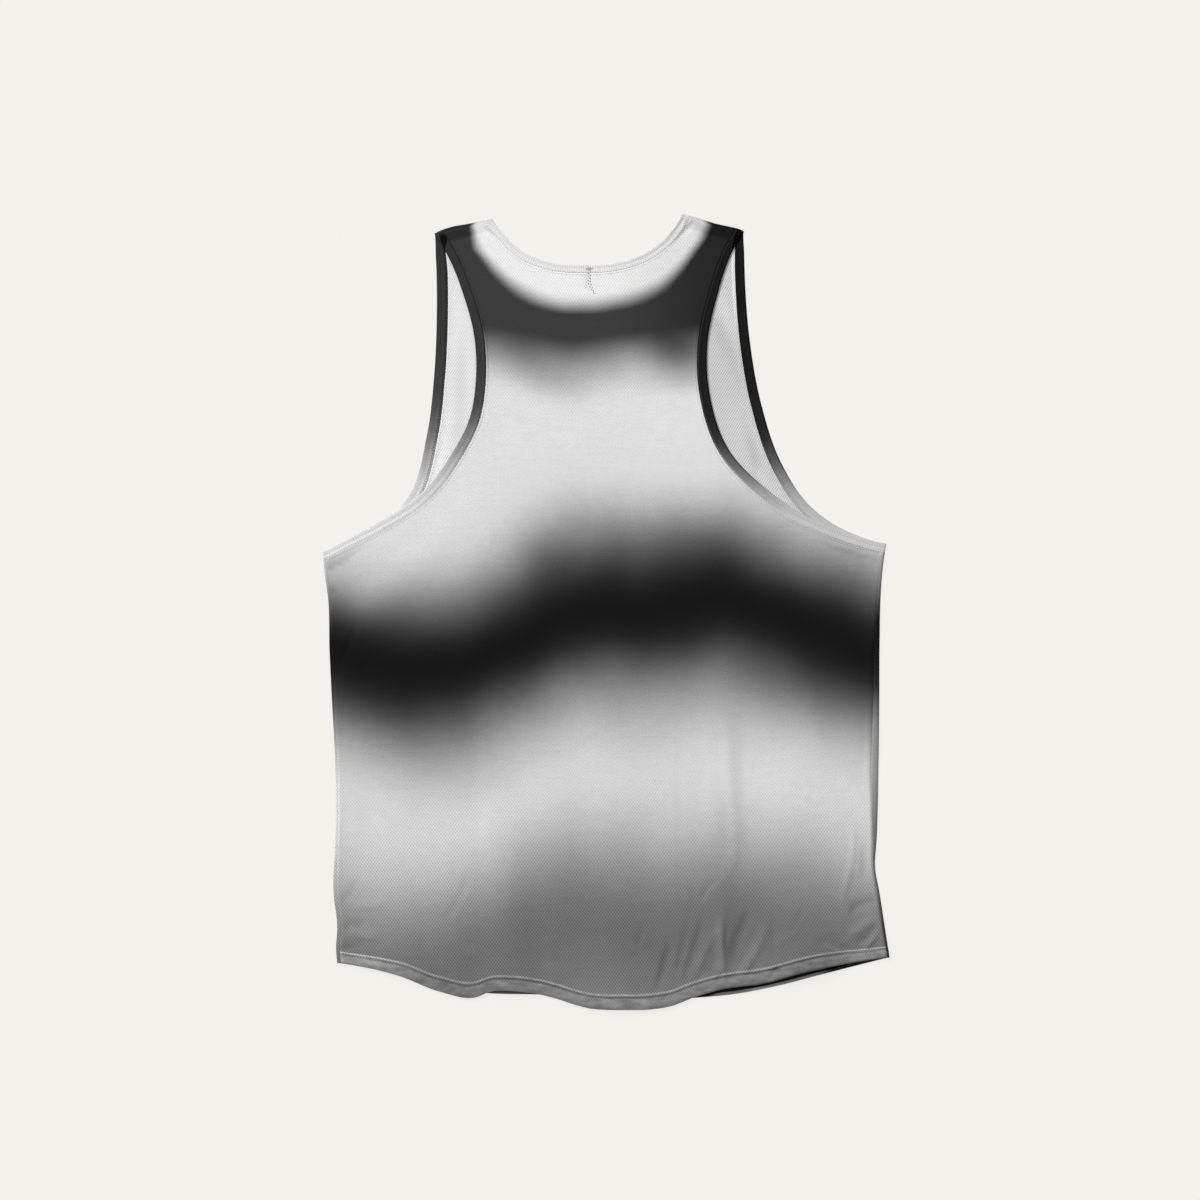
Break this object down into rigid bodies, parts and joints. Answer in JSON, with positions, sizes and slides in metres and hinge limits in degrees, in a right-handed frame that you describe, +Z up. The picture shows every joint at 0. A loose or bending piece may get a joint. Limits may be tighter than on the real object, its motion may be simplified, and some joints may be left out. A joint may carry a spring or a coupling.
{
  "type": "running singlet",
  "caption": "Sleeveless racerback running singlet laid flat on its front, with a turned hem and bound neck and armholes.",
  "frame": {"origin": "centre of the rectangle round the laid-out garment, on the surface it lies on", "axes": "+Z up, out of the back panel; +Y from the hem to the neck; +X towards the wearer's right side"},
  "size_m": [0.5104, 0.7169, 0.012],
  "materials": {
    "front_knit": "light polyester mesh knit, pale inside, soft sheen",
    "back_knit": "light polyester mesh knit, soft grey shading, soft sheen",
    "neck_tape": "fine rib binding, off-white, matte",
    "armhole_tape": "fine rib binding, near black, matte"
  },
  "bodies": {
    "root": {"front_panel": "front_knit", "back_panel": "back_knit", "neck_binding": "neck_tape", "armhole_binding_left": "armhole_tape", "armhole_binding_right": "armhole_tape"}
  },
  "joints": []
}
